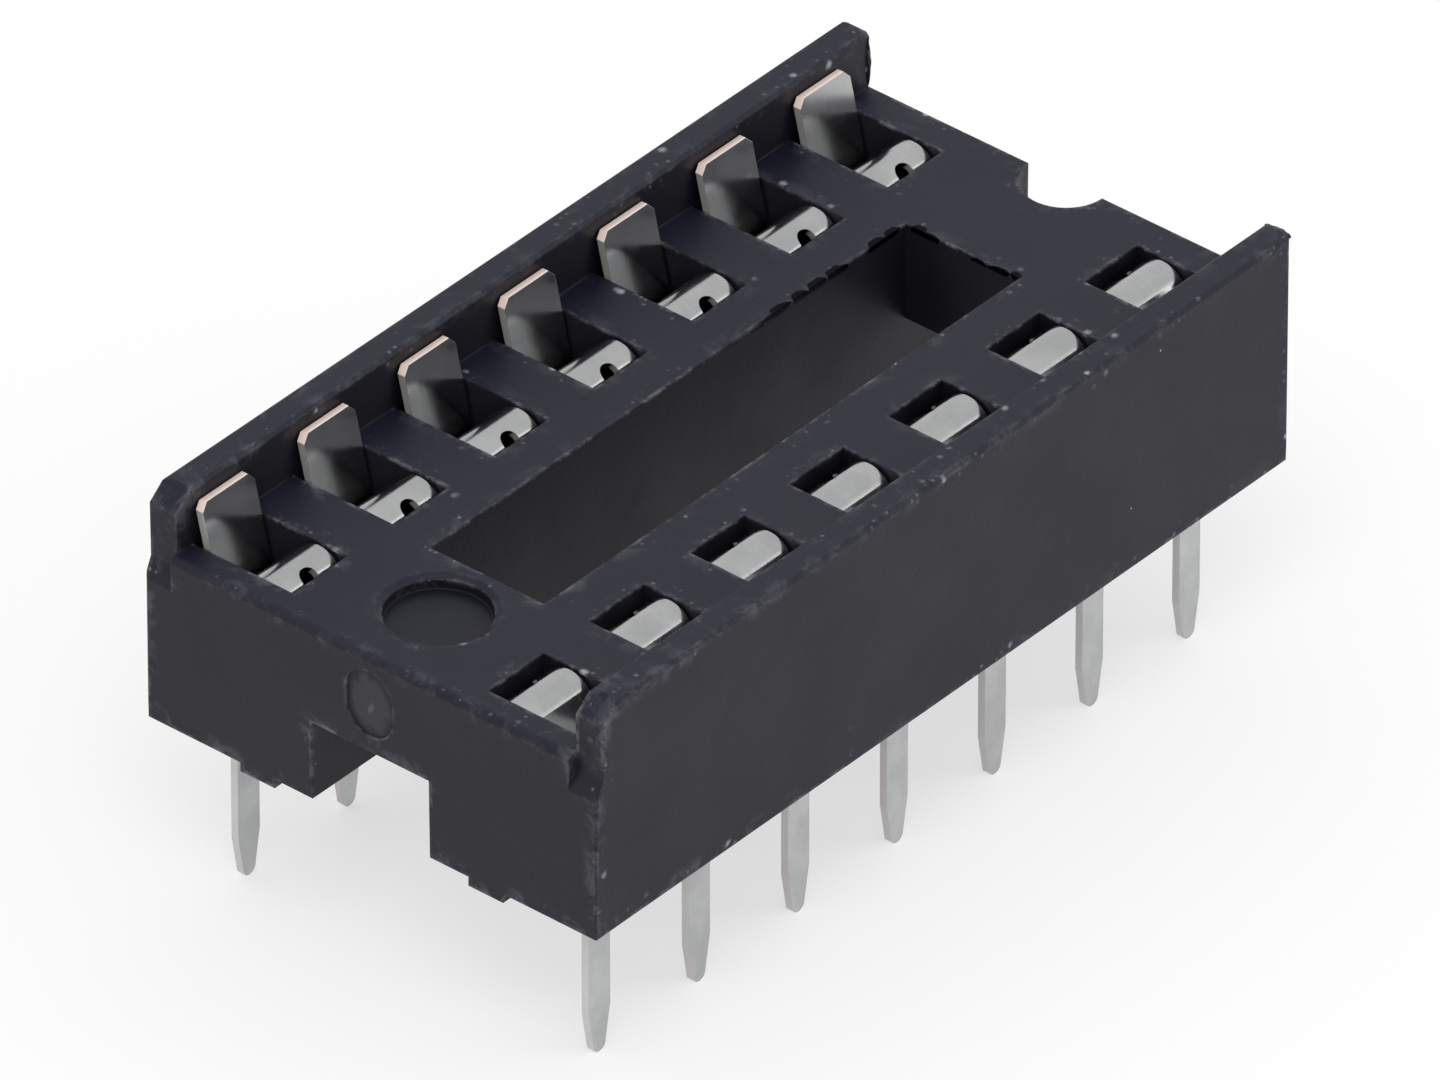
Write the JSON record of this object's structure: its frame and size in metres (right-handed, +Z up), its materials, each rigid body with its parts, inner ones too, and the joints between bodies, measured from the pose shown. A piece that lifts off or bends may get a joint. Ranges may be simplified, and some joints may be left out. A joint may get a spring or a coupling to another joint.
{
  "type": "ic socket",
  "caption": "Low-profile dual-row socket for an IC in a dual in-line package, with formed leaf contacts, flat solder tails, a central window and a half-round key notch.",
  "frame": {"origin": "centre of the footprint, on the plane through the tips of the solder tails", "axes": "+X along the rows towards the end with the half-round key notch, +Y across the rows, +Z up, out of the side the IC is plugged into"},
  "size_m": [0.0178, 0.0098, 0.008],
  "materials": {
    "housing": "moulded black glass-filled polyester, finely matt",
    "contacts": "bright tin plating over copper alloy strip"
  },
  "bodies": {
    "root": {"housing": "housing", "contact_01": "contacts", "contact_02": "contacts", "contact_03": "contacts", "contact_04": "contacts", "contact_05": "contacts", "contact_06": "contacts", "contact_07": "contacts", "contact_08": "contacts", "contact_09": "contacts", "contact_10": "contacts", "contact_11": "contacts", "contact_12": "contacts", "contact_13": "contacts", "contact_14": "contacts"}
  },
  "joints": []
}
